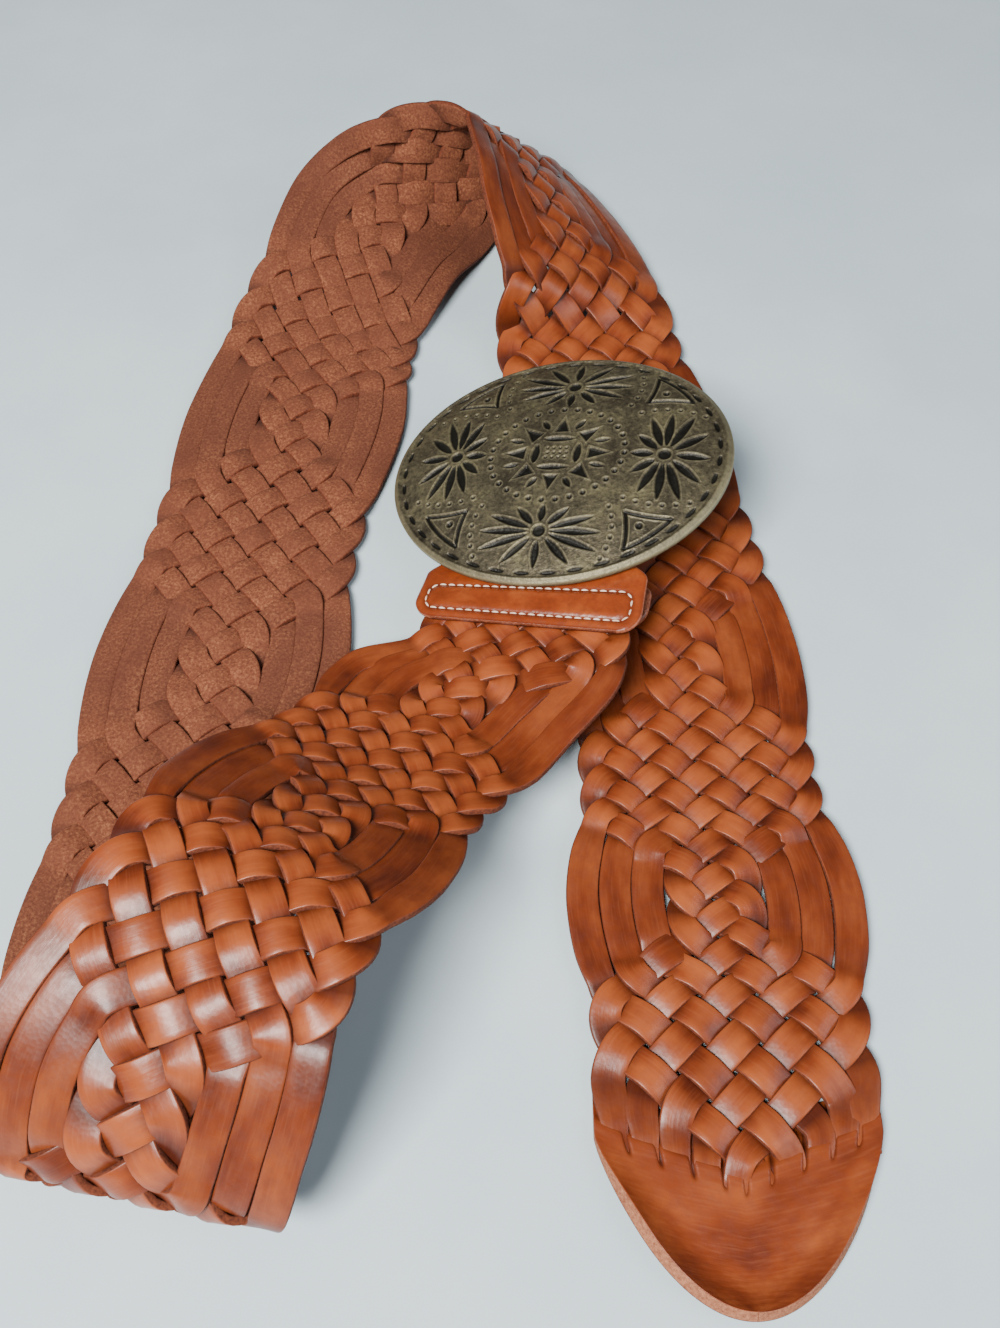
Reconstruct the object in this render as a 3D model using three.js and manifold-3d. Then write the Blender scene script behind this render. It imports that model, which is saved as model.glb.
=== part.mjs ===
// A braided leather belt as it lies on a table, with an oval cast buckle.
// Millimetres, +Z up. The table is the plane Z = 0 and the rounded tip points toward -Y.
// One strap runs from the buckle toward -Y, rises over a crest, folds down and under,
// goes back away flat with its flesh side up, turns over at the far end and comes
// home face up below the buckle to end in the rounded tip.

import * as THREE from 'three';
import Module from 'manifold-3d';
import { mergeVertices } from 'three/addons/utils/BufferGeometryUtils.js';

const wasm = await Module();
wasm.setup();

// Named sizes
const layWidth = 200;        // room across that the lay of the belt takes
const layLength = 400;       // room along, from the tip side to the far turn
const layHeight = 50;        // height of the crest of the near fold
const beltWidth = 70;        // strap width at a lens of the braid
const strandThickness = 2.3; // one leather strand
const weaveRelief = 1.3;     // how deep the hollows between the crossings are
const edgeNotch = 2.0;       // depth of the notches between the edge scallops
const strandEdge = 1.25;     // half height of the strap's edge

const tipLength = 36;        // uncut leather beyond the last crossing
const tipThickness = 3.0;
const tipLift = 3.4;         // how far the tip's rim curls up

const tabWidth = 64;         // stitched leather tab that holds the buckle
const tabNeck = 44;          // its width where it goes round the buckle's bar
const tabLength = 29;        // from the bar to the stitched end
const tabBack = 23;          // length of the layer underneath
const tabThickness = 1.9;
const tabCorner = 6;         // corner radius of the stitched end

const buckleLength = 101;    // oval plate
const buckleWidth = 83;
const plateThickness = 2.6;
const domeHeight = 5.0;      // rise of the plate's middle over its rim
const rimBead = 0.5;         // raised rim
const rimWidth = 1.6;
const cutDepth = 0.7;        // depth of the tooled cuts
const rosettePetal = 12.5;   // length of a rosette's petal
const petalWidth = 3.0;
const petals = 12;
const rosetteHub = 2.4;      // bare round between the petals

const barDiameter = 4.0;     // bar that the tab is folded round
const barInset = 17.5;       // bar axis from the plate's near rim
const postThickness = 3.2;
const backWidth = 12;        // plain cast strip that carries bar and hook
const backThickness = 2.0;
const hookInset = 14;        // hook from the plate's far rim
const hookDiameter = 4.6;
const hookLength = 9.5;      // it reaches this far below the rim plane
const clearance = 0.3;

// Where the buckle lies, as shares of the room, and how it leans, in degrees
const buckleAcross = 0.0815;
const buckleAlong = 0.5675;
const buckleHeight = 0.449;
const buckleTurn = -14;
const buckleRoll = 16;
const bucklePitch = 4;
const tabEase = 4;            // how much less the tab's stitched end is rolled

const rad = Math.PI / 180;

// Route of the strap's middle line. Rows of crossings are counted from the first lens
// beyond the tab. Columns: row, share of layWidth, share of layLength, share of layHeight,
// heading and tilt of the rows across the strap in degrees, share of beltWidth. Where the
// strap bends in its own plane the braid shears, so rows needn't be square to the route.
const route = [
  [0, -0.0625, 0.3862, 0.184, -27, 7, 0.971],
  [5, -0.1175, 0.3463, 0.284, -31, 5, 0.929],
  [7, -0.1425, 0.3300, 0.344, -31, 4, 0.893],
  [9, -0.1650, 0.3137, 0.424, -31, 3, 0.929],
  [14, -0.2100, 0.2725, 0.694, -30, 2, 1.000],
  [19, -0.2525, 0.2325, 0.894, -29, 1, 0.943],
  [21, -0.2750, 0.2087, 0.924, -28, 0, 0.914],
  [23, -0.3000, 0.1825, 0.884, -24, -1, 0.943],
  [28, -0.3600, 0.1250, 0.604, -15, -3, 1.036],
  [32, -0.3875, 0.0912, 0.244, -11, -1, 1.020],
  [35, -0.3900, 0.1200, 0.008, -7, 0, 0.943],
  [42, -0.4175, 0.2150, 0.000, -3, 0, 0.971],
  [49, -0.4085, 0.3212, 0.000, -3, 0, 0.905],
  [56, -0.3870, 0.4288, 0.000, -5, 0, 1.015],
  [63, -0.3640, 0.5387, 0.000, -8, 0, 0.903],
  [70, -0.3285, 0.6597, 0.000, -7, 0, 1.000],
  [73, -0.3150, 0.7035, 0.002, -15, 0, 0.980],
  [75.5, -0.3025, 0.7413, 0.009, -23, -1, 0.977],
  [77, -0.2945, 0.7633, 0.030, -28, -3, 0.970],
  [79, -0.2730, 0.7905, 0.098, -30, -9, 0.930],
  [81.5, -0.2450, 0.8276, 0.191, -29, -12, 0.932],
  [84, -0.2125, 0.8645, 0.250, -28, -15, 0.950],
  [86.5, -0.1630, 0.8920, 0.300, -19, -27, 0.933],
  [89, -0.0960, 0.9140, 0.412, 6, -40, 0.915],
  [90, -0.0640, 0.9250, 0.425, 10, -42, 0.900],
  [91, -0.0340, 0.9350, 0.433, 17, -44.5, 0.886],
  [92, -0.0060, 0.9425, 0.440, 29, -44.5, 0.893],
  [93, 0.0180, 0.9470, 0.445, 42, -42.5, 0.900],
  [95.5, 0.0545, 0.9090, 0.455, 43, -37, 0.925],
  [98, 0.0850, 0.8680, 0.405, 39, -31, 0.950],
  [100.5, 0.1147, 0.8270, 0.335, 31, -26, 0.925],
  [103, 0.1400, 0.7865, 0.214, 22, -18.5, 0.900],
  [105, 0.1450, 0.7550, 0.040, 8, -3, 0.886],
  [112, 0.1825, 0.6425, 0.000, 7, 0, 0.957],
  [119, 0.2250, 0.5337, 0.000, 5, 0, 0.900],
  [126, 0.2500, 0.4338, 0.000, 3, 0, 0.936],
  [133, 0.2575, 0.3412, 0.000, 2, 0, 0.907],
  [140, 0.2625, 0.2587, 0.000, 1, 0, 1.043],
  [147, 0.2650, 0.1750, 0.000, 1, 0, 0.929],
  [151, 0.2640, 0.1240, 0.000, 1, 0, 0.871],
];

// The braid repeats every 14 rows: a lens of long arcs round a knot, then a short plait.
const repeat = 14;
const lensRow = 5;
// Edge scallops by rows away from a lens's middle, as shares of edgeNotch
const scallop = [0, 0, 0, 0, -0.2, -0.9, 0.1, -0.8];
// Crossings that a lens leaves out: column, first row, last row
const leftOut = [[1, 2, 8], [2, 3, 7], [3, 4, 6], [7, 4, 6], [8, 3, 7], [9, 2, 8]];
// Lens columns pulled to the grooves and crowns of the arcs: column, place across
const arcPlace = [[1, 1.0], [2, 1.6], [3, 2.4], [4, 3.9], [6, 6.1], [7, 7.6], [8, 8.4], [9, 9.0]];
const columns = 10;

// Outline of the tip: distance along it and half width, both as shares
const tipOutline = [
  [0.08, 0.985], [0.2, 0.94], [0.35, 0.87], [0.5, 0.785], [0.64, 0.68],
  [0.76, 0.58], [0.86, 0.455], [0.94, 0.31], [1.0, 0.13],
];

const leather = new THREE.MeshStandardMaterial({ color: 0xb4602f, roughness: 0.5, metalness: 0 });
const tabLeather = new THREE.MeshStandardMaterial({ color: 0xb8622e, roughness: 0.4, metalness: 0 });
const antique = new THREE.MeshStandardMaterial({ color: 0x6f6d58, roughness: 0.42, metalness: 0.9 });
const plainCast = new THREE.MeshStandardMaterial({ color: 0x5f5d4c, roughness: 0.5, metalness: 0.9 });

// Smooth value of one table column at a row. Its slopes come from the neighbouring
// entries, held low enough that no value passes the entries on either side.
function along(table, at, column) {
  let i = 0;
  while (i < table.length - 2 && at > table[i + 1][0]) i++;
  const x = (k) => table[k][0];
  const y = (k) => table[k][column];
  const secant = (k) => (y(k + 1) - y(k)) / (x(k + 1) - x(k));
  const slope = (k) => {
    if (k === 0) return secant(0);
    if (k === table.length - 1) return secant(k - 1);
    const a = x(k) - x(k - 1);
    const b = x(k + 1) - x(k);
    const before = secant(k - 1);
    const after = secant(k);
    if (before * after <= 0) return 0;
    const most = 3 * Math.min(Math.abs(before), Math.abs(after));
    return THREE.MathUtils.clamp((before * b + after * a) / (a + b), -most, most);
  };
  const h = x(i + 1) - x(i);
  const t = (at - x(i)) / h;
  const t2 = t * t;
  const t3 = t2 * t;
  return (2 * t3 - 3 * t2 + 1) * y(i) + (t3 - 2 * t2 + t) * h * slope(i)
    + (3 * t2 - 2 * t3) * y(i + 1) + (t3 - t2) * h * slope(i + 1);
}

const heading = (turn, tilt) => new THREE.Vector3(
  Math.cos(turn * rad) * Math.cos(tilt * rad),
  Math.sin(turn * rad) * Math.cos(tilt * rad),
  Math.sin(tilt * rad));

// Buckle frame: across, up the plate toward the far side, and out of its face
const plateAcross = heading(buckleTurn, buckleRoll);
const plateLevel = new THREE.Vector3(-Math.sin(buckleTurn * rad), Math.cos(buckleTurn * rad), 0);
const plateNormal = new THREE.Vector3();
const plateUp = plateLevel.clone().applyAxisAngle(plateAcross, bucklePitch * rad);
plateNormal.crossVectors(plateAcross, plateUp);
const plateCentre = new THREE.Vector3(
  buckleAcross * layWidth, buckleAlong * layLength, buckleHeight * layHeight);
const onPlate = (u, v, n) => plateCentre.clone()
  .addScaledVector(plateAcross, u).addScaledVector(plateUp, v).addScaledVector(plateNormal, n);

// Bar: below the plate, low enough for the tab's leather to leave level under the near rim
const barDrop = plateThickness + clearance + tabThickness + clearance + barDiameter / 2
  + barInset * Math.tan(bucklePitch * rad);
const barAlong = -(buckleWidth / 2 - barInset);
const bar = onPlate(0, barAlong, -barDrop);

// Tab frame: it leaves the bar level and parallel to it, then eases its roll toward the table
const tabOut = new THREE.Vector3(Math.sin(buckleTurn * rad), -Math.cos(buckleTurn * rad), 0);
const tabRoll = (distance) => buckleRoll
  - tabEase * THREE.MathUtils.smoothstep(distance, tabLength / 3, tabLength);
function tabFrame(distance) {
  const across = heading(buckleTurn, tabRoll(distance));
  return {
    origin: bar.clone().addScaledVector(tabOut, distance),
    across,
    normal: new THREE.Vector3().crossVectors(tabOut, across),
  };
}
const tabGap = barDiameter / 2 + clearance;
const strapInTab = tabGap - 2 * clearance; // half thickness of the strap's thinned end

// The strap's first rows lie between the tab's layers
const stationInTab = (row, share) => {
  const p = tabFrame(tabLength * share).origin;
  return [row, p.x / layWidth, p.y / layLength, (p.z - strandThickness) / layHeight,
    buckleTurn, tabRoll(tabLength * share),
    (tabNeck - 4) / beltWidth + (tabWidth - tabNeck) / beltWidth * share];
};
const strapRoute = [
  stationInTab(-10, 0.25), stationInTab(-8, 0.62), stationInTab(-6, 1), stationInTab(-5, 1.17), ...route];
const firstRow = strapRoute[0][0];
const lastRow = strapRoute[strapRoute.length - 1][0];

const middleAt = (row) => new THREE.Vector3(
  along(strapRoute, row, 1) * layWidth,
  along(strapRoute, row, 2) * layLength,
  along(strapRoute, row, 3) * layHeight + strandThickness);

function frameAt(row) {
  const a = Math.max(row - 0.25, firstRow);
  const b = Math.min(row + 0.25, lastRow);
  const forward = middleAt(b).sub(middleAt(a)).normalize();
  const across = heading(along(strapRoute, row, 4), along(strapRoute, row, 5));
  const normal = new THREE.Vector3().crossVectors(forward, across).normalize();
  return { origin: middleAt(row), forward, across, normal };
}

// A closed band from rings of points: each ring runs over the face and back over the flesh side
function bandGeometry(rings) {
  const n = rings[0].length;
  const half = n / 2;
  const position = rings.flat().flatMap((p) => [p.x, p.y, p.z]);
  const index = [];
  for (let i = 0; i < rings.length - 1; i++) {
    for (let j = 0; j < n; j++) {
      const a = i * n + j;
      const b = i * n + (j + 1) % n;
      index.push(a, b, b + n, a, b + n, a + n);
    }
  }
  for (const [i, flip] of [[0, false], [rings.length - 1, true]]) {
    for (let j = 0; j < half - 1; j++) {
      const [a, b, c, d] = [j, j + 1, n - 2 - j, n - 1 - j].map((k) => i * n + k);
      if (flip) index.push(a, b, c, a, c, d);
      else index.push(a, c, b, a, d, c);
    }
  }
  return outward(position, index);
}

// Indexed geometry with its faces pointing out
function outward(position, index) {
  let volume = 0;
  const p = (k) => new THREE.Vector3(position[3 * k], position[3 * k + 1], position[3 * k + 2]);
  for (let t = 0; t < index.length; t += 3) {
    volume += p(index[t]).dot(p(index[t + 1]).cross(p(index[t + 2])));
  }
  if (volume < 0) {
    for (let t = 0; t < index.length; t += 3) [index[t + 1], index[t + 2]] = [index[t + 2], index[t + 1]];
  }
  const geometry = new THREE.BufferGeometry();
  geometry.setAttribute('position', new THREE.Float32BufferAttribute(position, 3));
  geometry.setIndex(index);
  return geometry;
}

const inRepeat = (row) => ((row + lensRow) % repeat + repeat) % repeat;
const crosses = (row, column) => {
  const r = inRepeat(row);
  if ((r + column) % 2 === 0) return false;
  return !leftOut.some(([c, from, to]) => c === column && r >= from && r <= to);
};

// One row of the braid as a ring of points
function braidRing(row) {
  const { origin, across, normal } = frameAt(row);
  const r = inRepeat(row);
  const away = Math.min(Math.abs(r - lensRow), repeat - Math.abs(r - lensRow));
  const inTab = Math.min(Math.max((row + 4.5) / 2.5, 0), 1);
  const halfWidth = along(strapRoute, row, 6) * beltWidth / 2
    + scallop[away] * edgeNotch * inTab;
  const top = strapInTab + (strandThickness - strapInTab) * inTab;
  const inLens = away <= 3;
  const face = [];
  const flesh = [];
  for (let c = 0; c <= columns; c++) {
    const moved = inLens && arcPlace.find(([k]) => k === c);
    const place = (moved ? moved[1] : c) / columns * 2 - 1;
    let rise = crosses(row, c) ? top : top - weaveRelief * inTab;
    if (inLens && (c === 2 || c === 8)) rise = top;
    if (c === 0 || c === columns) rise = strandEdge;
    const p = origin.clone().addScaledVector(across, place * halfWidth);
    face.push(p.clone().addScaledVector(normal, rise));
    flesh.unshift(p.clone().addScaledVector(normal, -rise));
  }
  return [...face, ...flesh];
}

// The uncut tip carries on from the last row of the braid
function tipRing(share, widthShare) {
  const { origin, forward, across, normal } = frameAt(lastRow);
  const halfWidth = along(strapRoute, lastRow, 6) * beltWidth / 2 * widthShare;
  const face = [];
  const flesh = [];
  for (let c = 0; c <= columns; c++) {
    const place = c / columns * 2 - 1;
    const curl = tipLift * Math.max(Math.pow(Math.abs(place), 4), Math.pow(share, 5)) * Math.min(share * 2, 1);
    const flat = Math.abs(place) < 0.7 && share < 0.6 ? 0 : curl;
    const p = origin.clone()
      .addScaledVector(forward, tipLength * share * (1 - 0.06 * place * place))
      .addScaledVector(across, place * halfWidth)
      .addScaledVector(normal, flat - strandThickness);
    flesh.unshift(p);
    face.push(p.clone().addScaledVector(normal, tipThickness));
  }
  return [...face, ...flesh];
}

const strapRings = [];
for (let row = firstRow; row <= lastRow; row++) strapRings.push(braidRing(row));
for (const [share, widthShare] of tipOutline) strapRings.push(tipRing(share, widthShare));
const strap = new THREE.Mesh(bandGeometry(strapRings), leather);
strap.name = 'braided_strap';

// Tab: one piece of leather folded round the bar, with round corners at both ends
function tabRing(origin, across, normal, halfWidth) {
  const cells = 6;
  const outer = [];
  const inner = [];
  for (let c = 0; c <= cells; c++) {
    const place = c / cells * 2 - 1;
    const p = origin.clone().addScaledVector(across, place * halfWidth);
    outer.push(p.clone().addScaledVector(normal, tabThickness));
    inner.unshift(p);
  }
  return [...outer, ...inner];
}

const tabHalfWidth = (distance, length) => {
  const wide = tabNeck / 2 + (tabWidth - tabNeck) / 2 * THREE.MathUtils.smoothstep(distance, 3, 13);
  const left = length - distance;
  if (left >= tabCorner) return wide;
  return wide - tabCorner + Math.sqrt(Math.max(tabCorner ** 2 - (tabCorner - left) ** 2, 0));
};

function tabSide(length, side) {
  const stops = [0, 0.1, 0.3, 0.6, 1].map((k) => length - tabCorner * k * 0.98);
  const from = length - tabCorner;
  for (let k = 1; k <= 4; k++) stops.push(from * (1 - k / 5));
  return stops.map((distance) => {
    const { origin, across, normal } = tabFrame(distance);
    normal.multiplyScalar(side);
    return tabRing(origin.addScaledVector(normal, tabGap), across, normal, tabHalfWidth(distance, length));
  });
}

const tabRings = tabSide(tabLength, 1);
const atBar = tabFrame(0);
for (let k = 0; k <= 8; k++) {
  const angle = Math.PI / 2 + Math.PI * k / 8;
  const n = atBar.normal.clone().multiplyScalar(Math.sin(angle)).addScaledVector(tabOut, Math.cos(angle));
  tabRings.push(tabRing(bar.clone().addScaledVector(n, tabGap), atBar.across, n, tabNeck / 2));
}
tabRings.push(...tabSide(tabBack, -1).reverse());
const tab = new THREE.Mesh(bandGeometry(tabRings), tabLeather);
tab.name = 'leather_tab';

// Oval plate: height over the rim plane by share of the radius
const sectors = 40;
const plateRise = (share) => domeHeight * (1 - share ** 2.6);
const beadFrom = 1 - rimWidth / (buckleWidth / 2);
const topStops = [0, 0.3, 0.55, 0.76, beadFrom, beadFrom + 0.012, 1];
const topHeight = (share) => plateRise(share) + (share > beadFrom + 0.001 ? rimBead : 0);
const plateProfile = [];
topStops.forEach((share, k) => plateProfile.push([share, k === topStops.length - 1 ? 0.4 : topHeight(share)]));
plateProfile.push([1, -plateThickness * 0.6], [0.975, -plateThickness]);
for (const share of [0.78, 0.5, 0]) plateProfile.push([share, plateRise(share) - plateThickness]);

function ovalGeometry(profile) {
  const position = [];
  const index = [];
  const ringStart = [];
  profile.forEach(([share, height]) => {
    ringStart.push(position.length / 3);
    const count = share === 0 ? 1 : sectors;
    for (let s = 0; s < count; s++) {
      const a = 2 * Math.PI * s / sectors;
      const p = onPlate(share * buckleLength / 2 * Math.cos(a), share * buckleWidth / 2 * Math.sin(a), height);
      position.push(p.x, p.y, p.z);
    }
  });
  const at = (k, s) => ringStart[k] + (profile[k][0] === 0 ? 0 : s % sectors);
  for (let k = 0; k < profile.length - 1; k++) {
    for (let s = 0; s < sectors; s++) {
      const [a, b, c, d] = [at(k, s), at(k, s + 1), at(k + 1, s + 1), at(k + 1, s)];
      if (a !== b) index.push(a, b, d);
      if (c !== d) index.push(b, c, d);
    }
  }
  return outward(position, index);
}

const toSolid = (geometry) => {
  const bare = geometry.clone();
  bare.deleteAttribute('normal');
  bare.deleteAttribute('uv');
  const merged = mergeVertices(bare, 1e-5);
  return new wasm.Manifold(new wasm.Mesh({
    numProp: 3,
    vertProperties: new Float32Array(merged.attributes.position.array),
    triVerts: new Uint32Array(merged.index.array),
  }));
};

const toGeometry = (solid) => {
  const mesh = solid.getMesh();
  const geometry = new THREE.BufferGeometry();
  geometry.setAttribute('position', new THREE.BufferAttribute(new Float32Array(mesh.vertProperties), 3));
  geometry.setIndex(new THREE.BufferAttribute(new Uint32Array(mesh.triVerts), 1));
  return geometry;
};

// Rosettes: middle as shares of the half axes, and stretch across and along
const rosettes = [[-0.61, 0, 0.88, 1.25], [0.61, 0, 0.88, 1.25], [0, 0.64, 1.42, 0.82], [0, -0.64, 1.42, 0.82]];

// A petal cut: a lens-shaped groove that points away from the rosette's middle
function petalCut(rosette, k) {
  const [across, up, wide, tall] = rosette;
  const a = 2 * Math.PI * k / petals;
  const u0 = across * buckleLength / 2;
  const v0 = up * buckleWidth / 2;
  const outline = [[0, 0], [0.35, 0.5], [0.7, 0.42], [1, 0], [0.7, -0.42], [0.35, -0.5]];
  const points = [];
  for (const level of [-1, 1]) {
    for (const [s, w] of outline) {
      const r = rosetteHub + s * (rosettePetal - rosetteHub);
      const side = w * petalWidth * (level < 0 ? 0.35 : 1);
      const u = u0 + (r * Math.cos(a) - side * Math.sin(a)) * wide;
      const v = v0 + (r * Math.sin(a) + side * Math.cos(a)) * tall;
      const share = Math.min(Math.hypot(u / (buckleLength / 2), v / (buckleWidth / 2)), beadFrom);
      points.push(onPlate(u, v, plateRise(share) + (level < 0 ? -cutDepth : 1.5)));
    }
  }
  const n = outline.length;
  const index = [];
  for (let j = 0; j < n; j++) {
    const b = (j + 1) % n;
    index.push(j, b, b + n, j, b + n, j + n);
  }
  for (let j = 1; j < n - 1; j++) index.push(0, j + 1, j, n, n + j, n + j + 1);
  return toSolid(outward(points.flatMap((p) => [p.x, p.y, p.z]), index));
}

let plateSolid = toSolid(ovalGeometry(plateProfile));
for (const rosette of rosettes) {
  for (let k = 0; k < petals; k++) plateSolid = plateSolid.subtract(petalCut(rosette, k));
}
const plate = new THREE.Mesh(toGeometry(plateSolid), antique);
plate.name = 'buckle_plate';

// Back of the buckle: a plain strip with the bar between two posts, and the hook
function boxOnPlate(u0, u1, v0, v1, n0, n1) {
  const geometry = new THREE.BoxGeometry(u1 - u0, v1 - v0, n1 - n0);
  geometry.applyMatrix4(new THREE.Matrix4().makeBasis(plateAcross, plateUp, plateNormal));
  const c = onPlate((u0 + u1) / 2, (v0 + v1) / 2, (n0 + n1) / 2);
  geometry.translate(c.x, c.y, c.z);
  return toSolid(geometry);
}

function rodOnPlate(diameter, length, centre, along_) {
  const geometry = new THREE.CylinderGeometry(diameter / 2, diameter / 2, length, 16);
  geometry.applyQuaternion(new THREE.Quaternion().setFromUnitVectors(new THREE.Vector3(0, 1, 0), along_));
  geometry.translate(centre.x, centre.y, centre.z);
  return toSolid(geometry);
}

const underside = (u, v) => plateRise(Math.hypot(u / (buckleLength / 2), v / (buckleWidth / 2)))
  - plateThickness - clearance;
const postAt = tabNeck / 2 + 0.8 + postThickness / 2;
const barLength = 2 * postAt + postThickness * 0.6;
const hookAlong = buckleWidth / 2 - hookInset;
const stripNear = barAlong + barDiameter / 2 + clearance + tabThickness + 1.2;
const stripTop = underside(postAt + postThickness / 2, barAlong - barDiameter / 2);
let backSolid = boxOnPlate(-backWidth / 2, backWidth / 2, stripNear, hookAlong + hookDiameter / 2,
  stripTop - backThickness, stripTop);
backSolid = backSolid.add(boxOnPlate(-postAt - postThickness / 2, postAt + postThickness / 2,
  stripNear, stripNear + 5, stripTop - backThickness, stripTop));
for (const side of [-1, 1]) {
  const u = side * postAt;
  backSolid = backSolid.add(boxOnPlate(u - postThickness / 2, u + postThickness / 2,
    barAlong - barDiameter / 2, stripNear + 5, -barDrop - barDiameter / 2, stripTop));
}
backSolid = backSolid.add(rodOnPlate(barDiameter, barLength, bar, plateAcross));
backSolid = backSolid.add(rodOnPlate(hookDiameter, hookLength + stripTop,
  onPlate(0, hookAlong, (stripTop - hookLength) / 2 - 0.01), plateNormal));
const back = new THREE.Mesh(toGeometry(backSolid), plainCast);
back.name = 'buckle_loop_and_hook';

// Centre the belt over the origin, standing on Z = 0
const belt = new THREE.Group();
belt.add(strap, tab, plate, back);
const box = new THREE.Box3().setFromObject(belt, true);
belt.position.set(-(box.min.x + box.max.x) / 2, -(box.min.y + box.max.y) / 2, -box.min.z);
belt.updateMatrixWorld(true);

export default belt;
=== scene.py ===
import math

import bpy
import numpy as np
from mathutils import Euler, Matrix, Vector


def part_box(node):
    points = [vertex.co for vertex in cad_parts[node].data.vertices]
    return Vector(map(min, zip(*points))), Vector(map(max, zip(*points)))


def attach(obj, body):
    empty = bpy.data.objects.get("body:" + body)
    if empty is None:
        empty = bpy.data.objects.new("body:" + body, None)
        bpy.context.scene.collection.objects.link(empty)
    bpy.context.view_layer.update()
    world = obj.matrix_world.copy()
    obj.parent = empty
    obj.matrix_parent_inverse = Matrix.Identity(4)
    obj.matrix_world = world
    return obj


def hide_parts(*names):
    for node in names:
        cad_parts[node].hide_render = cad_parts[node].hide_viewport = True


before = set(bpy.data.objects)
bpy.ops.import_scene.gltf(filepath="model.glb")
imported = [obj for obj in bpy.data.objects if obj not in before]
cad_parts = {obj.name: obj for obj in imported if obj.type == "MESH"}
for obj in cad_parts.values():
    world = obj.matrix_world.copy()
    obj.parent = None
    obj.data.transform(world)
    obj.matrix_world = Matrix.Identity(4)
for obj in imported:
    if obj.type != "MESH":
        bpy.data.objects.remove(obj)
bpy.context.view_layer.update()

# Camera
# The belt is seen from the tip side, looking steeply down at the table. Places in this
# script are in millimetres on the table before the belt is centred. The buckle's lowest
# corner is known there, so the plate's box says how far the centring moved the belt.
plate_low = np.array([-31.7509, 184.9637, 6.1371])
moved = np.array(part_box("buckle_plate")[0]) * 1000.0 - plate_low


def to_scene(points):
    """Millimetres on the table to metres in the frame: add the centring move, divide by 1000."""
    return (np.asarray(points, float) + moved) / 1000.0


camera_data = bpy.data.cameras.new("view")
camera_data.sensor_fit = "VERTICAL"
camera_data.sensor_height = 36.0
camera_data.lens = 36.0 * 1150.0 / 1328.0
camera = bpy.data.objects.new("view", camera_data)
bpy.context.scene.collection.objects.link(camera)
camera.location = to_scene([0.0, 0.0, 270.0])
camera.rotation_euler = Euler((math.radians(32.7), 0.0, 0.0))
bpy.context.scene.camera = camera

# Braided strands
# Ten flat strands slit from one strap and braided: lenses of long arcs round a four-strand
# knot, then a short plait. Vegetable tanned leather, glazed on the face, suede underneath.
lay_width, lay_length, lay_height, belt_width = 200.0, 400.0, 50.0, 70.0
half_stack = 2.3            # half the height of two crossed strands
strand_width = 8.2
arc_width = 7.9             # strands close up a little where they run side by side
root_width = 5.9            # and where they leave the uncut tip
narrowest = 6.2             # a strand is never pressed narrower than this
strand_gap = 1.0            # open room between two strands that run the same way
strand_thick = 2.1
least_height = 0.02         # nothing reaches through the table
buckle_centre = np.array([16.3, 227.0, 22.45])
buckle_turn, buckle_roll, buckle_pitch = math.radians(-14), 16.0, math.radians(4)
tab_length, tab_back, tab_width, tab_neck, tab_thick = 29.0, 23.0, 64.0, 44.0, 1.9
plate_half = np.array([50.5, 41.5])
bar_radius, bar_inset, plate_thick, gap = 2.0, 17.5, 2.6, 0.3

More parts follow.
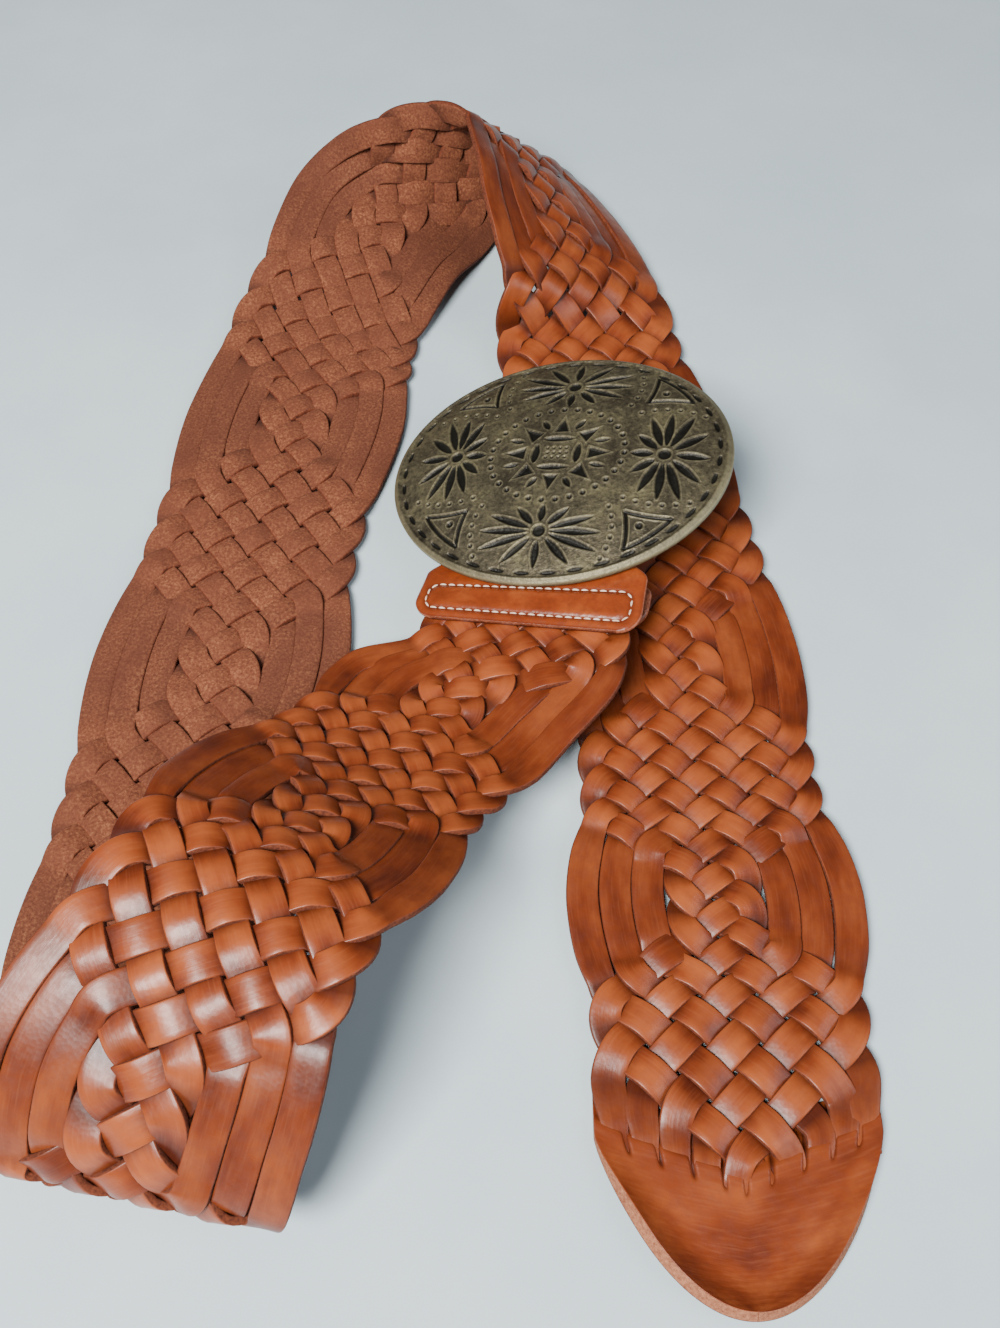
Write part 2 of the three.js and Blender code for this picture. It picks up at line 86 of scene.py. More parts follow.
# Route of the strap's middle line: row of crossings, shares of the lay's width, length and
# height, heading and tilt of the rows in degrees, share of the belt's width
route = [
    [0, -0.0625, 0.3862, 0.184, -27, 7, 0.971], [5, -0.1175, 0.3463, 0.284, -31, 5, 0.929],
    [7, -0.1425, 0.3300, 0.344, -31, 4, 0.893], [9, -0.1650, 0.3137, 0.424, -31, 3, 0.929],
    [14, -0.2100, 0.2725, 0.694, -30, 2, 1.000], [19, -0.2525, 0.2325, 0.894, -29, 1, 0.943],
    [21, -0.2750, 0.2087, 0.924, -28, 0, 0.914], [23, -0.3000, 0.1825, 0.884, -24, -1, 0.943],
    [28, -0.3600, 0.1250, 0.604, -15, -3, 1.036], [32, -0.3875, 0.0912, 0.244, -11, -1, 1.020],
    [35, -0.3900, 0.1200, 0.008, -7, 0, 0.943], [42, -0.4175, 0.2150, 0.000, -3, 0, 0.971],
    [49, -0.4085, 0.3212, 0.000, -3, 0, 0.905], [56, -0.3870, 0.4288, 0.000, -5, 0, 1.015],
    [63, -0.3640, 0.5387, 0.000, -8, 0, 0.903], [70, -0.3285, 0.6597, 0.000, -7, 0, 1.000],
    [73, -0.3150, 0.7035, 0.002, -15, 0, 0.980], [75.5, -0.3025, 0.7413, 0.009, -23, -1, 0.977],
    [77, -0.2945, 0.7633, 0.030, -28, -3, 0.970], [79, -0.2730, 0.7905, 0.098, -30, -9, 0.930],
    [81.5, -0.2450, 0.8276, 0.191, -29, -12, 0.932], [84, -0.2125, 0.8645, 0.250, -28, -15, 0.950],
    [86.5, -0.1630, 0.8920, 0.300, -19, -27, 0.933], [89, -0.0960, 0.9140, 0.412, 6, -40, 0.915],
    [90, -0.0640, 0.9250, 0.425, 10, -42, 0.900], [91, -0.0340, 0.9350, 0.433, 17, -44.5, 0.886],
    [92, -0.0060, 0.9425, 0.440, 29, -44.5, 0.893], [93, 0.0180, 0.9470, 0.445, 42, -42.5, 0.900],
    [95.5, 0.0545, 0.9090, 0.455, 43, -37, 0.925], [98, 0.0850, 0.8680, 0.405, 39, -31, 0.950],
    [100.5, 0.1147, 0.8270, 0.335, 31, -26, 0.925], [103, 0.1400, 0.7865, 0.214, 22, -18.5, 0.900],
    [105, 0.1450, 0.7550, 0.040, 8, -3, 0.886], [112, 0.1825, 0.6425, 0.000, 7, 0, 0.957],
    [119, 0.2250, 0.5337, 0.000, 5, 0, 0.900], [126, 0.2500, 0.4338, 0.000, 3, 0, 0.936],
    [133, 0.2575, 0.3412, 0.000, 2, 0, 0.907], [140, 0.2625, 0.2587, 0.000, 1, 0, 1.043],
    [147, 0.2650, 0.1750, 0.000, 1, 0, 0.929], [151, 0.2640, 0.1240, 0.000, 1, 0, 0.871],
]
last_row = 151.0            # the route ends here and the strap runs straight on
repeat = 14                 # rows from one lens to the next
tip_pitch = 5.1             # spacing of the rows that run on into the tip


def heading(turn, tilt):
    """Unit vector turned from +X by turn about Z and raised by tilt, both in degrees."""
    turn, tilt = np.radians(turn), np.radians(tilt)
    return np.stack([np.cos(turn) * np.cos(tilt), np.sin(turn) * np.cos(tilt), np.sin(tilt)], -1)


def smooth_step(value, start, end):
    """0 before start, 1 after end, and 3t^2 - 2t^3 between them."""
    t = np.clip((value - start) / (end - start), 0.0, 1.0)
    return t * t * (3 - 2 * t)


# The buckle's own directions, and the bar that the tab is folded round
plate_across = heading(math.degrees(buckle_turn), buckle_roll)
plate_level = np.array([-math.sin(buckle_turn), math.cos(buckle_turn), 0.0])
plate_up = (plate_level * math.cos(buckle_pitch) + np.cross(plate_across, plate_level) * math.sin(buckle_pitch)
            + plate_across * plate_across.dot(plate_level) * (1 - math.cos(buckle_pitch)))
plate_normal = np.cross(plate_across, plate_up)
bar_drop = plate_thick + gap + tab_thick + gap + bar_radius + bar_inset * math.tan(buckle_pitch)
bar = buckle_centre - plate_up * (plate_half[1] - bar_inset) - plate_normal * bar_drop
tab_out = np.array([math.sin(buckle_turn), -math.cos(buckle_turn), 0.0])


def tab_frame(distance):
    """Places on the tab's middle plane: straight out from the bar, its roll easing by 4 degrees."""
    distance = np.asarray(distance, float)
    roll = buckle_roll - 4.0 * smooth_step(distance, tab_length / 3, tab_length)
    across = heading(np.full_like(distance, math.degrees(buckle_turn)), roll)
    return bar + distance[..., None] * tab_out, across, np.cross(np.broadcast_to(tab_out, across.shape), across)


start = []
for row, share in [(-10, 0.25), (-8, 0.62), (-6, 1.0), (-5, 1.17)]:
    place, _, _ = tab_frame(tab_length * share)
    roll = buckle_roll - 4.0 * float(smooth_step(tab_length * share, tab_length / 3, tab_length))
    start.append([row, place[0] / lay_width, place[1] / lay_length, (place[2] - half_stack) / lay_height,
                  math.degrees(buckle_turn), roll, (tab_neck - 4 + (tab_width - tab_neck) * share) / belt_width])
route = np.array(start + route, float)


def along(table, at, column):
    """Smooth value of a table column: cubic Hermite pieces whose slopes are the weighted mean
    of the neighbouring secants, zero at a turn and never over three times the smaller one."""
    x, y = table[:, 0], table[:, column]
    step = np.diff(x)
    secant = np.diff(y) / step
    slope = np.concatenate([secant[:1], secant[:1].repeat(len(x) - 2), secant[-1:]])
    before, after, a, b = secant[:-1], secant[1:], step[:-1], step[1:]
    most = 3 * np.minimum(abs(before), abs(after))
    slope[1:-1] = np.where(before * after > 0, np.clip((before * b + after * a) / (a + b), -most, most), 0)
    i = np.clip(np.searchsorted(x, at) - 1, 0, len(x) - 2)
    h, t = step[i], (at - x[i]) / step[i]
    return ((2 * t**3 - 3 * t**2 + 1) * y[i] + (t**3 - 2 * t**2 + t) * h * slope[i]
            + (3 * t**2 - 2 * t**3) * y[i + 1] + (t**3 - t**2) * h * slope[i + 1])


def strap_frame(row):
    """Middle, across and face direction of the strap at rows, straight on past the last one."""
    held = np.minimum(row, last_row)

    def middle(at):
        at = np.clip(at, route[0, 0], last_row)
        return np.stack([along(route, at, 1) * lay_width, along(route, at, 2) * lay_length,
                         along(route, at, 3) * lay_height + half_stack], -1)

    forward = middle(held + 0.25) - middle(held - 0.25)
    forward /= np.linalg.norm(forward, axis=-1, keepdims=True)
    across = heading(along(route, held, 4), along(route, held, 5))
    normal = np.cross(forward, across)
    normal /= np.linalg.norm(normal, axis=-1, keepdims=True)
    beyond = np.maximum(row - last_row, 0.0)[..., None] * tip_pitch
    return middle(held) + forward * beyond, forward, across, normal, along(route, held, 6) * belt_width / 2


# Where a strand runs free, by rows from the lens's middle: place across for positions 1 to 4
free_place = {
    1: [0.56, 0.57, 0.59, 0.64, 0.75, 0.8, 0.66, 0.66], 2: [1.67, 1.68, 1.72, 1.80, 1.9, 2, 2, 2],
    3: [2.76, 2.78, 2.84, 2.9, 3, 3, 3, 3], 4: [3.80, 3.80, 3.8, 3.8, 3.8, 3.8, 3.8, 3.8],
}
free_height = {1: 0.25, 2: -0.30, 3: 0.15, 4: 0.0}
left_out = [(1, 2, 8), (2, 3, 7), (3, 4, 6), (7, 4, 6), (8, 3, 7), (9, 2, 8)]
last_crossing = [147, 148, 149, 150, 151, 150, 149, 148, 147]   # per column, before the uncut tip
root_place = [0.5, 1.55, 2.65, 3.72, 4.7, 5.6, 6.7, 7.8, 8.75, 9.5]   # where each strand joins it
flush = -0.33               # height at which a strand's face is level with the tip's
ends_early = 0.3            # rows from a strand's end to its slits' end, bridged by the tip
crossing_lag = 0.9          # rows by which the last crossings lag behind the strap's rows
first_row, end_row = -9, 155
samples = 7                 # rings per row


def root_row(column):
    """Row on the strap where the slits end: a V from 150.9 at the sides to 153.3 in the middle."""
    return 150.9 + 2.4 * (1 - np.abs(np.asarray(column) - 5) / 5) ** 0.8


def braid_plan():
    """Follows ten strands row by row. Strands in places c and c+1 swap at column c where row
    plus column is odd, unless the lens leaves the crossing out: in even rows the strand that
    goes left is on top, in odd rows the one that goes right. Returns places, heights, and
    1 where a strand passes over, -1 where it passes under."""
    order = list(range(10))
    place = np.zeros((10, end_row - first_row + 1))
    height = np.zeros_like(place)
    over = np.zeros_like(place)
    for k, row in enumerate(range(first_row, end_row + 1)):
        r = (row + 5) % repeat
        away = min(abs(r - 5), repeat - abs(r - 5))
        free = set(range(10))
        for c in range(1, 10):
            if (r + c) % 2 == 0 or row > last_crossing[c - 1]:
                continue
            if any(c == col and low <= r <= high for col, low, high in left_out):
                continue
            goes_right, goes_left = order[c - 1], order[c]
            at = {4: 4.06, 6: 5.94}.get(c, c) if away <= 3 else c
            place[[goes_right, goes_left], k] = at
            height[goes_left, k] = 1.0 if r % 2 == 0 else -1.0
            height[goes_right, k] = -height[goes_left, k]
            order[c - 1], order[c] = goes_left, goes_right
            free -= {goes_right, goes_left}
        over[:, k] = height[:, k]
        for strand in free:
            position = order.index(strand) + 1
            if row > max(last_crossing[c - 1] for c in (position - 1, position) if 1 <= c <= 9):
                place[strand, k], height[strand, k] = root_place[position - 1], flush
                continue
            p = 11 - position if position > 5 else position
            x = free_place.get(p, [p - 0.5] * 8)[away]
            place[strand, k] = 10 - x if position > 5 else x
            height[strand, k] = free_height.get(p, 0.0) if away <= 4 else 0.0
    return place, height, over


def smooth_rows(values, at):
    """Catmull-Rom curve through one value per row."""
    i = np.clip(np.floor(at).astype(int), 0, values.shape[-1] - 2)
    t = at - i
    p = [values[..., np.clip(i + k, 0, values.shape[-1] - 1)] for k in (-1, 0, 1, 2)]
    return 0.5 * (2 * p[1] + (p[2] - p[0]) * t + (2 * p[0] - 5 * p[1] + 4 * p[2] - p[3]) * t**2
                  + (3 * p[1] - p[0] - 3 * p[2] + p[3]) * t**3)


def strand_section():
    """Half width and half thickness as shares: a slightly crowned face and flesh side, and
    square raw edges with small rounds. The third column is the finish: 0 face, 1 edge, 2 flesh."""
    face = [[x, 1 - 0.09 * x * x, 0.0] for x in np.linspace(-0.9, 0.9, 7)]
    right = [[0.965, 0.83, 0.55], [1.0, 0.5, 1.0], [1.0, -0.4, 1.0], [0.97, -0.78, 1.45]]
    flesh = [[x, -1 + 0.12 * x * x, 2.0] for x in np.linspace(0.88, -0.88, 5)]
    left = [[-x, y, f] for x, y, f in right[::-1]]
    return np.array(face + right + flesh + left)


def closed_grid(points):
    """Quads between successive closed rings."""
    rings, n = points.shape[:2]
    i, j = np.meshgrid(np.arange(rings - 1), np.arange(n), indexing="ij")
    a = i * n + j
    b = i * n + (j + 1) % n
    return np.stack([a, b, b + n, a + n], -1).reshape(-1, 4)


def new_piece(name, vertices, quads, ends):
    """A mesh object at the origin from millimetre places, with quads and end polygons."""
    mesh = bpy.data.meshes.new(name)
    faces = [tuple(q) for q in quads.tolist()] + [tuple(e) for e in ends]
    mesh.from_pydata(to_scene(vertices).tolist(), [], faces)
    mesh.polygons.foreach_set("use_smooth", np.full(len(mesh.polygons), True))
    mesh.update()
    piece = bpy.data.objects.new(name, mesh)
    bpy.context.scene.collection.objects.link(piece)
    return piece


def ring_piece(name, rings):
    """A piece from successive closed rings of places, capped at its first and last ring."""
    count, n = rings.shape[:2]
    caps = [list(range(n)), [(count - 1) * n + k for k in range(n - 1, -1, -1)]]
    return new_piece(name, rings.reshape(-1, 3), closed_grid(rings)[:, ::-1], caps)


def put_values(piece, name, values):
    """Stores one number per vertex for the material to read."""
    layer = piece.data.attributes.new(name, "FLOAT", "POINT")
    layer.data.foreach_set("value", np.asarray(values, np.float32).ravel())


def put_uv(piece, u, v):
    """A UV map in millimetres along and across the piece, from one pair per vertex."""
    corner = np.zeros(len(piece.data.loops), np.int32)
    piece.data.loops.foreach_get("vertex_index", corner)
    layer = piece.data.uv_layers.new(name="lengths")
    layer.data.foreach_set("uv", np.stack([u.ravel()[corner], v.ravel()[corner]], -1).astype(np.float32).ravel())


def linear(hex_colour):
    """sRGB hex to the linear colour that a shader socket wants."""
    s = np.array([int(hex_colour[i:i + 2], 16) for i in (1, 3, 5)]) / 255.0
    return (*np.where(s <= 0.04045, s / 12.92, ((s + 0.055) / 1.055) ** 2.4).tolist(), 1.0)


def add_node(tree, kind, inputs=None, **settings):
    """Adds one node. Settings are its properties; inputs are its sockets by name or number,
    each a value or another node's output."""
    made = tree.nodes.new(kind)
    for name, value in settings.items():
        setattr(made, name, value)
    for name, value in (inputs or {}).items():
        if isinstance(value, bpy.types.NodeSocket):
            tree.links.new(value, made.inputs[name])
        else:
            made.inputs[name].default_value = value
    return made


def new_material(name):
    """An empty node material with its output, ready for a shader."""
    material = bpy.data.materials.new(name)
    material.use_nodes = True
    material.node_tree.nodes.clear()
    return material, material.node_tree


def ramp(tree, factor, stops):
    """A colour ramp from (place, hex colour) stops."""
    made = add_node(tree, "ShaderNodeValToRGB", {0: factor})
    elements = made.color_ramp.elements
    while len(elements) < len(stops):
        elements.new(0.5)
    for element, (place, colour) in zip(elements, stops):
        element.position, element.color = place, linear(colour)
    return made.outputs[0]


def mix_colour(tree, factor, a, b):
    """Mixes two colours by a factor."""
    return add_node(tree, "ShaderNodeMix", {0: factor, 6: a, 7: b}, data_type="RGBA").outputs[2]


def mix_number(tree, factor, a, b):
    """Mixes two numbers by a factor."""
    return add_node(tree, "ShaderNodeMix", {0: factor, 2: a, 3: b}, data_type="FLOAT").outputs[0]


def noise(tree, vector, scale, detail, roughness=0.5):
    """Noise from 0 to 1; a pattern about 1000 / scale mm wide when the vector is in metres."""
    inputs = {"Vector": vector, "Scale": scale, "Detail": detail, "Roughness": roughness}
    return add_node(tree, "ShaderNodeTexNoise", inputs).outputs[0]


def value_of(tree, name):
    """The number that put_values stored under a name."""
    return add_node(tree, "ShaderNodeAttribute", attribute_name=name).outputs["Fac"]


def finish_material(tree, inputs):
    """The surface shader with its inputs, joined to the output."""
    shader = add_node(tree, "ShaderNodeBsdfPrincipled", inputs)
    add_node(tree, "ShaderNodeOutputMaterial", {"Surface": shader.outputs[0]})


def range_of(tree, value, low, high, to_low=0.0, to_high=1.0):
    """Maps a value from one range to another, held at the ends."""
    return add_node(tree, "ShaderNodeMapRange", {0: value, 1: low, 2: high, 3: to_low, 4: to_high}).outputs[0]


def bridle_leather():
    """Glazed vegetable tanned strap leather: dyed through, with painted shade where a strand dives
    under another and a painted highlight, partly rubbing, paler on top; the edges near black, dark
    dye with painted shade in the gaps; suede on the flesh side, with painted shade where it passes
    under. Only the tip's raw edge, marked 2 in the crossing value, is pale."""
    material, tree = new_material("cognac vegetable tanned leather")
    place = add_node(tree, "ShaderNodeTexCoord").outputs["Object"]
    lengths = add_node(tree, "ShaderNodeUVMap", uv_map="lengths").outputs[0]
    finish = value_of(tree, "finish")
    painted_light_and_raw_edge = value_of(tree, "painted_light_and_raw_edge")
    # dye takes unevenly along each strand in patches of about 25 mm, finer mottling of 3 mm
    along_strand = add_node(tree, "ShaderNodeMapping", {"Vector": lengths, "Scale": (0.045, 0.09, 1.0)}).outputs[0]
    patches = noise(tree, along_strand, 1.0, 3.0, 0.55)
    mottle = noise(tree, place, 330.0, 4.0, 0.65)
    # drawn lines along each strand, 0.5 mm apart
    stretched = add_node(tree, "ShaderNodeMapping", {"Vector": lengths, "Scale": (0.12, 1.9, 1.0)}).outputs[0]
    drawn = noise(tree, stretched, 1.0, 3.0)
    tone = ramp(tree, patches, [(0.30, "#54200E"), (0.46, "#783417"), (0.66, "#964B25")])
    tone = mix_colour(tree, range_of(tree, mottle, 0.38, 0.7, 0.0, 0.3), tone, linear("#582010"))
    tone = mix_colour(tree, range_of(tree, drawn, 0.5, 0.8, 0.0, 0.2), tone, linear("#A5623E"))
    # painted shade: darkest where a strand dives under another (value -1), none on top
    tone = mix_colour(tree, range_of(tree, painted_light_and_raw_edge, 0.55, -0.25, 0.0, 0.8), tone, linear("#32110A"))
    # painted highlight, partly rubbed wear: paler on top of the over-crossings
    tone = mix_colour(tree, range_of(tree, painted_light_and_raw_edge, 0.6, 1.0, 0.0, 0.25), tone, linear("#A5572D"))
    # fibres of raw edges and suede, drawn 0.8 mm coarse where real ones are finer
    fibre = noise(tree, place, 1300.0, 3.0, 0.7)
    # the edges: near black edge dye, kept this dark as painted shade in the gaps between strands
    edge = ramp(tree, fibre, [(0.3, "#3E170C"), (0.7, "#74391F")])
    raw = ramp(tree, fibre, [(0.3, "#74402A"), (0.7, "#A66E50")])
    edge = mix_colour(tree, range_of(tree, painted_light_and_raw_edge, 1.2, 1.8), edge, raw)
    suede = ramp(tree, fibre, [(0.3, "#4F2616"), (0.52, "#733F28"), (0.72, "#94603F")])
    suede = mix_colour(tree, range_of(tree, patches, 0.35, 0.65, 0.0, 0.7), suede, linear("#5A2E1D"))
    # painted shade on the flesh side where the strand passes under another
    suede = mix_colour(tree, range_of(tree, painted_light_and_raw_edge, 0.0, 0.75, 0.0, 0.75), suede, linear("#2C120B"))
    colour = mix_colour(tree, range_of(tree, finish, 0.35, 0.75), tone, edge)
    colour = mix_colour(tree, range_of(tree, finish, 1.3, 1.7), colour, suede)
    grain = add_node(tree, "ShaderNodeTexVoronoi", {"Vector": place, "Scale": 900.0}, feature="F1").outputs[0]
    relief = add_node(tree, "ShaderNodeMath", {0: grain, 1: drawn}, operation="ADD").outputs[0]
    relief = mix_number(tree, range_of(tree, finish, 0.3, 0.9), relief, fibre)
    strength = range_of(tree, finish, 0.3, 1.0, 0.06, 0.6)
    bump = add_node(tree, "ShaderNodeBump", {"Height": relief, "Strength": strength, "Distance": 0.0004}).outputs[0]
    gloss = range_of(tree, mottle, 0.3, 0.7, 0.27, 0.42)
    rough = mix_number(tree, range_of(tree, finish, 0.3, 0.9), gloss, 0.92)
    finish_material(tree, {"Base Color": colour, "Roughness": rough, "Normal": bump,
                           "IOR": 1.48, "Specular IOR Level": 0.36})
    return material


strap_leather = bridle_leather()
places, heights, overs = braid_plan()
section = strand_section()
for strand in range(10):
    joins = root_row(places[strand, -1])
    stop = joins - ends_early
    rows = np.linspace(first_row, stop, int((stop - first_row) * samples))
    at = rows - first_row
    x = smooth_rows(places[strand], at)
    h = smooth_rows(heights[strand], at)
    crossed = np.clip(smooth_rows(overs[strand], at), -1, 1)
    spot = rows + crossing_lag * smooth_step(rows, 144.5, last_row)
    middle, forward, across, normal, half = strap_frame(spot)
    r = np.mod(rows + 5, repeat)
    in_lens = smooth_step(5 - abs(r - 5), 0.5, 2.5) * (abs(x - 5) > 1.4)
    to_root = smooth_step(spot, joins - 1.9, joins - 0.2)
    # no wider than the room between two strands that run the same way
    row_pitch = np.linalg.norm(np.gradient(middle, axis=0), axis=1) * samples
    room = 2 * half / 5 * np.sin(np.arctan2(row_pitch, half / 5)) - strand_gap
    width = np.clip(room, narrowest, strand_width)
    width = width + (arc_width - width) * in_lens
    width = width * (1 - to_root) + to_root * root_width
    sunk = 0.3 * smooth_step(spot, joins - 0.8, joins - 0.35)
    path = middle + across * ((x / 5 - 1) * half)[:, None] + normal * (h * strand_thick / 2 * 1.1 - sunk)[:, None]
    tangent = np.gradient(path, axis=0)
    tangent /= np.linalg.norm(tangent, axis=1, keepdims=True)
    side = np.cross(normal, tangent)
    side /= np.linalg.norm(side, axis=1, keepdims=True)
    side *= np.sign((side * across).sum(1))[:, None]
    up = np.cross(tangent, side)
    up *= np.sign((up * normal).sum(1))[:, None]
    ring = (path[:, None] + side[:, None] * (section[None, :, 0:1] * width[:, None, None] / 2)
            + up[:, None] * (section[None, :, 1:2] * strand_thick / 2))
    ring[..., 2] = np.maximum(ring[..., 2], least_height)
    count, n = ring.shape[:2]
    piece = ring_piece(f"braid_strand_{strand + 1}", ring)
    put_values(piece, "finish", np.broadcast_to(section[:, 2], (count, n)))
    # 1 on an over-crossing for the painted highlight, -1 under one for the painted shade, a little in the lenses and
    # at the root
    painted_light_and_raw_edge = (crossed * (1 - in_lens) + 0.25 * in_lens) * (1 - to_root) + 0.3 * to_root
    put_values(piece, "painted_light_and_raw_edge", np.broadcast_to(painted_light_and_raw_edge[:, None], (count, n)))
    length = np.concatenate([[0], np.cumsum(np.linalg.norm(np.diff(path, axis=0), axis=1))])
    around = np.concatenate([[0], np.cumsum(np.linalg.norm(np.diff(section[:, :2] * [4.1, 1.05], axis=0), axis=1))])
    # each strand starts 1 m further on in the pattern, so no two look the same
    put_uv(piece, np.broadcast_to(length[:, None] + 1000.0 * strand, (count, n)), np.broadcast_to(around, (count, n)))
    piece.data.materials.append(strap_leather)
    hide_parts("braided_strap")
    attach(piece, "root")

# Uncut tip
# The strap's end past the slits, left whole and cut to a round end. Its rim has dried and
# curls up like a spoon's, showing the raw edge, and fine creases run across the face.
tip_length, tip_thick, tip_lift = 36.0, 3.0, 3.8
tip_extra = 1.2             # the tip is wider than half the braid by this much
curled = 10.0               # width of the rim that curls up
tip_reach = 0.33            # share of its length by which it reaches back under the strands
thin_step = 1.3             # it loses this much thickness twice on the way back
slit_deep, slit_wide = 1.0, 0.4
slits = np.array([1.05, 2.1, 3.2, 4.3, 5.1, 6.1, 7.3, 8.3, 9.2])


def tip_half(share):
    """Half width at a share of the length: the full one times the root of one less the share
    to the power 1.25."""
    return (tip_frame[4] + tip_extra) * np.sqrt(1 - np.clip(share, 0, 1) ** 1.25)


def tip_surface(share_in, share_across):
    """The underside is flat but for the rim, which rises with the square of the place across
    its curled strip, more toward the end and the left; the face is 3 mm out from it and leans
    inward where the rim rises. The face starts before the slits' ends, as a thin layer under
    the strands, and comes up level with them there. Returns face, underside, slit depth from
    0 to 1, and the painted shade inside the curled rim."""
    origin, forward, across, normal, half = tip_frame
    columns = share_across * 5 + 5
    ends = (root_row(columns) - last_row) * tip_pitch / tip_length
    begin = ends - tip_reach
    share = begin + (1 - begin) * share_in
    run = tip_length * share
    wide = share_across * tip_half(share)
    # the nearest place on the outline and the outline's own inward direction there
    round_it = np.concatenate([np.linspace(-0.4, 0, 60)[:-1], 1 - np.linspace(1, 0, 500) ** 2])
    edge = np.stack([tip_half(round_it), tip_length * round_it], 1)
    away = np.hypot(abs(wide)[..., None] - edge[:, 0], run[..., None] - edge[:, 1])
    nearest = away.argmin(-1)
    along_edge = np.gradient(edge, axis=0)
    inward = np.stack([-along_edge[:, 1], along_edge[:, 0]], 1) / np.linalg.norm(along_edge, axis=1)[:, None]
    inward = inward[nearest] * np.stack([np.tanh(share_across * 12), np.ones_like(share)], -1)
    rise = np.clip(1 - away.min(-1) / curled, 0, 1)
    lift = tip_lift * smooth_step(share, -0.05, 0.55) * (0.8 - 0.4 * wide / half + 0.1 * share)
    curl, slope = lift * rise**2, 2 * lift * rise / curled
    past = (share - ends) * tip_length
    near = np.abs(columns[..., None] - slits).min(-1) * 6.1
    slit = np.exp(-(near / slit_wide) ** 2) * (1 - smooth_step(past, -0.3, 1.8)) * (abs(share_across) < 0.96)
    creases = 0.012 * np.sin(run * 5.1 + 2.0 * np.sin(share_across * 3.1)) * smooth_step(share, 0.35, 0.7)
    thinned = thin_step * (2 - smooth_step(past, -5.5, -2.5) - smooth_step(past, -8.5, -5.5))
    thick = (tip_thick - thinned - slit_deep * slit + creases) / np.hypot(1, slope)
    base = (origin + forward * run[..., None] + across * (wide - 0.5)[..., None]
            + normal * (curl - half_stack)[..., None])
    face = (base + (across * inward[..., :1] + forward * inward[..., 1:]) * (slope * thick)[..., None]
            + normal * thick[..., None])
    # painted shade inside the curled rim, up to 0.8, more toward the end
    shade = 0.8 * smooth_step(rise, 0.25, 0.9) * smooth_step(share, 0.25, 0.8)
    return face, base, slit, shade


# the face's grid is finer toward the rim, and the raw edge is a strip round it
tip_frame = [np.asarray(v)[0] for v in strap_frame(np.array([last_row]))]
u = np.linspace(-1, 1, 141)
to_end = 0.999996           # just short of the outline's own end, where the width is nothing
share_in, share_across = np.meshgrid(to_end - to_end * (1 - np.linspace(0, 1, 130)) ** 1.8,
                                     0.3 * np.sin(u * np.pi / 2) + 0.7 * u, indexing="ij")
face, under, slit, shade = tip_surface(share_in, share_across)
rim_right, rim_left = ([(face[:, side] * k + under[:, side] * (1 - k))[:, None] for k in (0.93, 0.6, 0.3, 0.06)]
                       for side in (-1, 0))
ring = np.concatenate([face, *rim_right, under[:, ::-7], *rim_left[::-1]], 1)
ring[..., 2] = np.maximum(ring[..., 2], least_height)
count, n = ring.shape[:2]
m = face.shape[1]
tip = ring_piece("uncut_tip", ring)
finish = np.zeros((count, n))
finish[:, m:m + 4] = 1.0
finish[:, m + 4:-4] = 2.0
finish[:, -4:] = 1.0
painted_light_and_raw_edge = np.full((count, n), 2.0)
# the face gets painted shade in the slits and inside the curled rim
painted_light_and_raw_edge[:, :m] = 0.45 - 1.2 * slit - 0.35 * shade
painted_light_and_raw_edge[:, m + 4:-4] = 0.0
put_values(tip, "finish", finish)
put_values(tip, "painted_light_and_raw_edge", painted_light_and_raw_edge)
put_uv(tip, np.broadcast_to(np.linspace(0, 61, n), (count, n)),
       np.broadcast_to(np.linspace(0, 38, count)[:, None], (count, n)))
tip.data.materials.append(strap_leather)
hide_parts("braided_strap")
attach(tip, "root")

# Leather tab
# One piece of glazed leather folded round the buckle's bar and sewn over the strap's end.
# The sewing draws a ring into the face, and the panel inside it stands up.
tab_gap = bar_radius + gap
corner = 6.0
ring_top, ring_end, ring_inset, ring_corner = 17.3, 26.2, 3.0, 3.0


def ring_depth(x, distance):
    """How far inside the sewn ring a place is: the signed distance to a rounded rectangle."""
    half = tab_width / 2 - ring_inset
    mid, tall = (ring_top + ring_end) / 2, (ring_end - ring_top) / 2
    qx, qy = abs(x) - (half - ring_corner), abs(distance - mid) - (tall - ring_corner)
    return -(np.minimum(np.maximum(qx, qy), 0) + np.hypot(np.maximum(qx, 0), np.maximum(qy, 0)) - ring_corner)


def tab_half(distance, length):
    """Half width: the neck widens to the full tab, and the end has round corners."""
    wide = tab_neck / 2 + (tab_width - tab_neck) / 2 * smooth_step(distance, 3, 13)
    left = np.clip(corner - (length - distance), 0, corner)
    return wide - corner + np.sqrt(np.maximum(corner**2 - left**2, 0))


def tab_stations():
    """Middle, across, outward and half width along the folded tab, from the sewn end over
    the bar to the end of the layer underneath."""
    parts = []
    for length, side in ((tab_length, 1.0), (tab_back, -1.0)):
        end = corner * (1 - np.cos(np.linspace(0.02, np.pi / 2, 12)))
        distance = np.concatenate([length - end, np.linspace(length - corner, 0, 44)[1:]])
        middle, across, normal = tab_frame(distance)
        parts.append([middle, across, normal * side, tab_half(distance, length), distance,
                      np.full(len(distance), side)])
    middle, across, normal = (v[0] for v in tab_frame(np.zeros(1)))
    angle = np.linspace(np.pi / 2, 3 * np.pi / 2, 14)[1:-1, None]
    outward = normal * np.sin(angle) + tab_out * np.cos(angle)
    turn = [np.broadcast_to(bar, outward.shape), np.broadcast_to(across, outward.shape), outward,
            np.full(12, tab_neck / 2), np.zeros(12), np.zeros(12)]
    return [np.concatenate([a, b, c[::-1]]) for a, b, c in zip(parts[0], turn, parts[1])]


